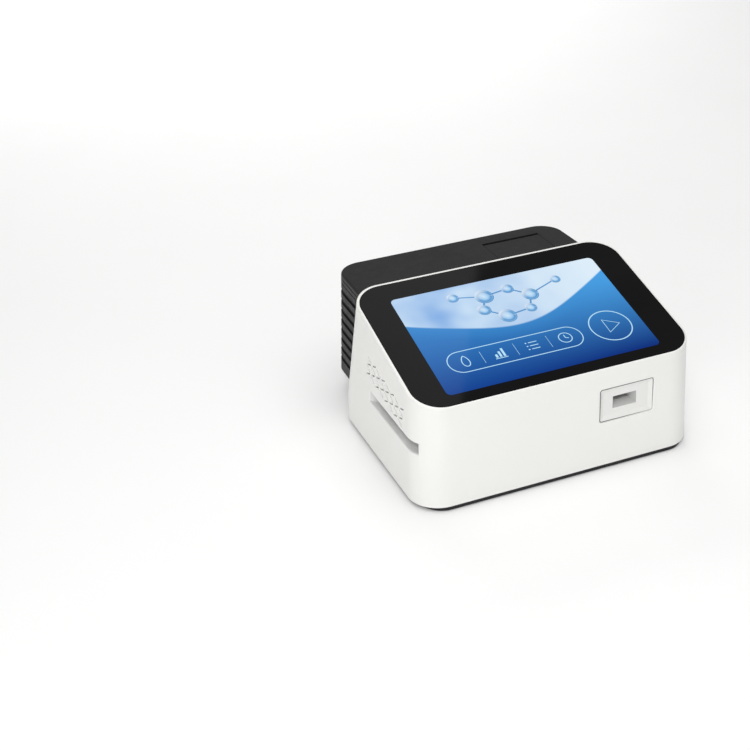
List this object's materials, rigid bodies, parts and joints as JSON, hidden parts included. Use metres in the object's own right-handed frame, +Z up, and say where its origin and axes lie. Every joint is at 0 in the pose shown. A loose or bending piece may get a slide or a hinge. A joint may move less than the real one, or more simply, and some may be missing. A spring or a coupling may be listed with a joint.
{
  "type": "immunofluorescence analyzer",
  "caption": "Bench-top immunofluorescence analyzer with a sloping touch screen, cassette port, side grips and a ribbed rear housing with a lidded printer.",
  "frame": {"origin": "on the table, under the middle of the whole instrument's box", "axes": "+Z up, -Y towards the user and the cassette port, +X to the user's right"},
  "size_m": [0.2892, 0.2644, 0.1503],
  "materials": {
    "white_plastic": "satin injection-moulded, warm white",
    "white_bezel": "satin, warm white",
    "black_plastic": "fine textured black",
    "cover_glass": "black printed cover glass, gloss",
    "lcd": "display face and dark metal back",
    "grey_plastic": "mid grey, fine texture",
    "dark_grey_plastic": "dark grey",
    "zinc_sheet": "zinc-plated sheet",
    "steel": "bright steel",
    "screw_steel": "nickel-plated steel",
    "aluminium": "machined",
    "anodised": "black anodised",
    "board": "green solder mask with parts",
    "rubber": "matt",
    "paper": "thermal paper",
    "lens_glass": "black barrel with a coated lens",
    "brass": "plain",
    "socket_metal": "nickel-plated shell"
  },
  "bodies": {
    "body": {"front_shell": "white_plastic", "touch_glass": "cover_glass", "lcd_module": "lcd", "lcd_bracket": "zinc_sheet", "bracket_screws": "screw_steel", "port_bezel": "white_bezel", "left_grip_liner": "grey_plastic", "right_grip_liner": "grey_plastic", "rear_housing": "black_plastic", "rear_panel": "dark_grey_plastic", "panel_screws": "screw_steel", "usb_sockets": "socket_metal", "network_socket": "socket_metal", "io_board": "board", "power_inlet": "dark_grey_plastic", "switch_case": "dark_grey_plastic", "fan_frame": "dark_grey_plastic", "base_tray": "black_plastic", "rubber_feet": "rubber", "base_screws": "screw_steel", "main_board": "board", "board_spacers": "brass", "scan_deck": "zinc_sheet", "deck_pillars": "steel", "front_rod_block": "aluminium", "rear_rod_block": "aluminium", "guide_rods": "steel", "motor_bracket": "zinc_sheet", "stepper_motor": "anodised", "optics_bridge": "aluminium", "optics_head": "anodised", "lens_barrel": "lens_glass", "code_reader": "dark_grey_plastic", "printer_bucket": "dark_grey_plastic", "print_head": "aluminium", "printer_motor": "steel", "lid_hinge_pin": "steel"},
    "carriage": {"cassette_carriage": "anodised"},
    "lead_screw": {"lead_screw": "steel"},
    "rocker": {"power_rocker": "dark_grey_plastic"},
    "fan_wheel": {"fan_rotor": "dark_grey_plastic"},
    "lid": {"printer_lid": "black_plastic"},
    "platen": {"platen_rubber": "rubber", "platen_axle": "steel", "platen_gear": "brass"},
    "printer_drive": {"drive_pinion": "brass"},
    "paper": {"paper_roll": "paper"}
  },
  "joints": [
    {"name": "carriage_slide", "type": "slide", "parent": "body", "child": "carriage", "axis": [0, 1, 0], "range_m": [0, 0.045]},
    {"name": "lead_screw_spin", "type": "hinge", "parent": "body", "child": "lead_screw", "pos_m": [0.0644, -0.03225, 0.0505], "axis": [0, 1, 0], "range_deg": [0, 1622]},
    {"name": "rocker_tilt", "type": "hinge", "parent": "body", "child": "rocker", "pos_m": [0.056, 0.11975, 0.079], "axis": [1, 0, 0], "range_deg": [0, 14]},
    {"name": "fan_spin", "type": "hinge", "parent": "body", "child": "fan_wheel", "pos_m": [-0.05, 0.11595, 0.068], "axis": [0, 1, 0], "continuous": true},
    {"name": "lid_hinge", "type": "hinge", "parent": "body", "child": "lid", "pos_m": [0.065, 0.10275, 0.1324], "axis": [-1, 0, 0], "range_deg": [0, 86]},
    {"name": "paper_roll_spin", "type": "hinge", "parent": "body", "child": "paper", "pos_m": [0.065, 0.08125, 0.1073], "axis": [1, 0, 0], "continuous": true},
    {"name": "platen_spin", "type": "hinge", "parent": "lid", "child": "platen", "pos_m": [0.065, 0.06075, 0.1286], "axis": [1, 0, 0], "continuous": true},
    {"name": "drive_spin", "type": "hinge", "parent": "body", "child": "printer_drive", "pos_m": [0.0338, 0.06075, 0.121], "axis": [1, 0, 0], "continuous": true}
  ],
  "couplings": [
    {"joint": "lead_screw_spin", "follows": "carriage_slide", "rad_per_m": 628.32},
    {"joint": "platen_spin", "follows": "paper_roll_spin", "ratio": 4.2222},
    {"joint": "drive_spin", "follows": "paper_roll_spin", "ratio": -6.3333}
  ]
}
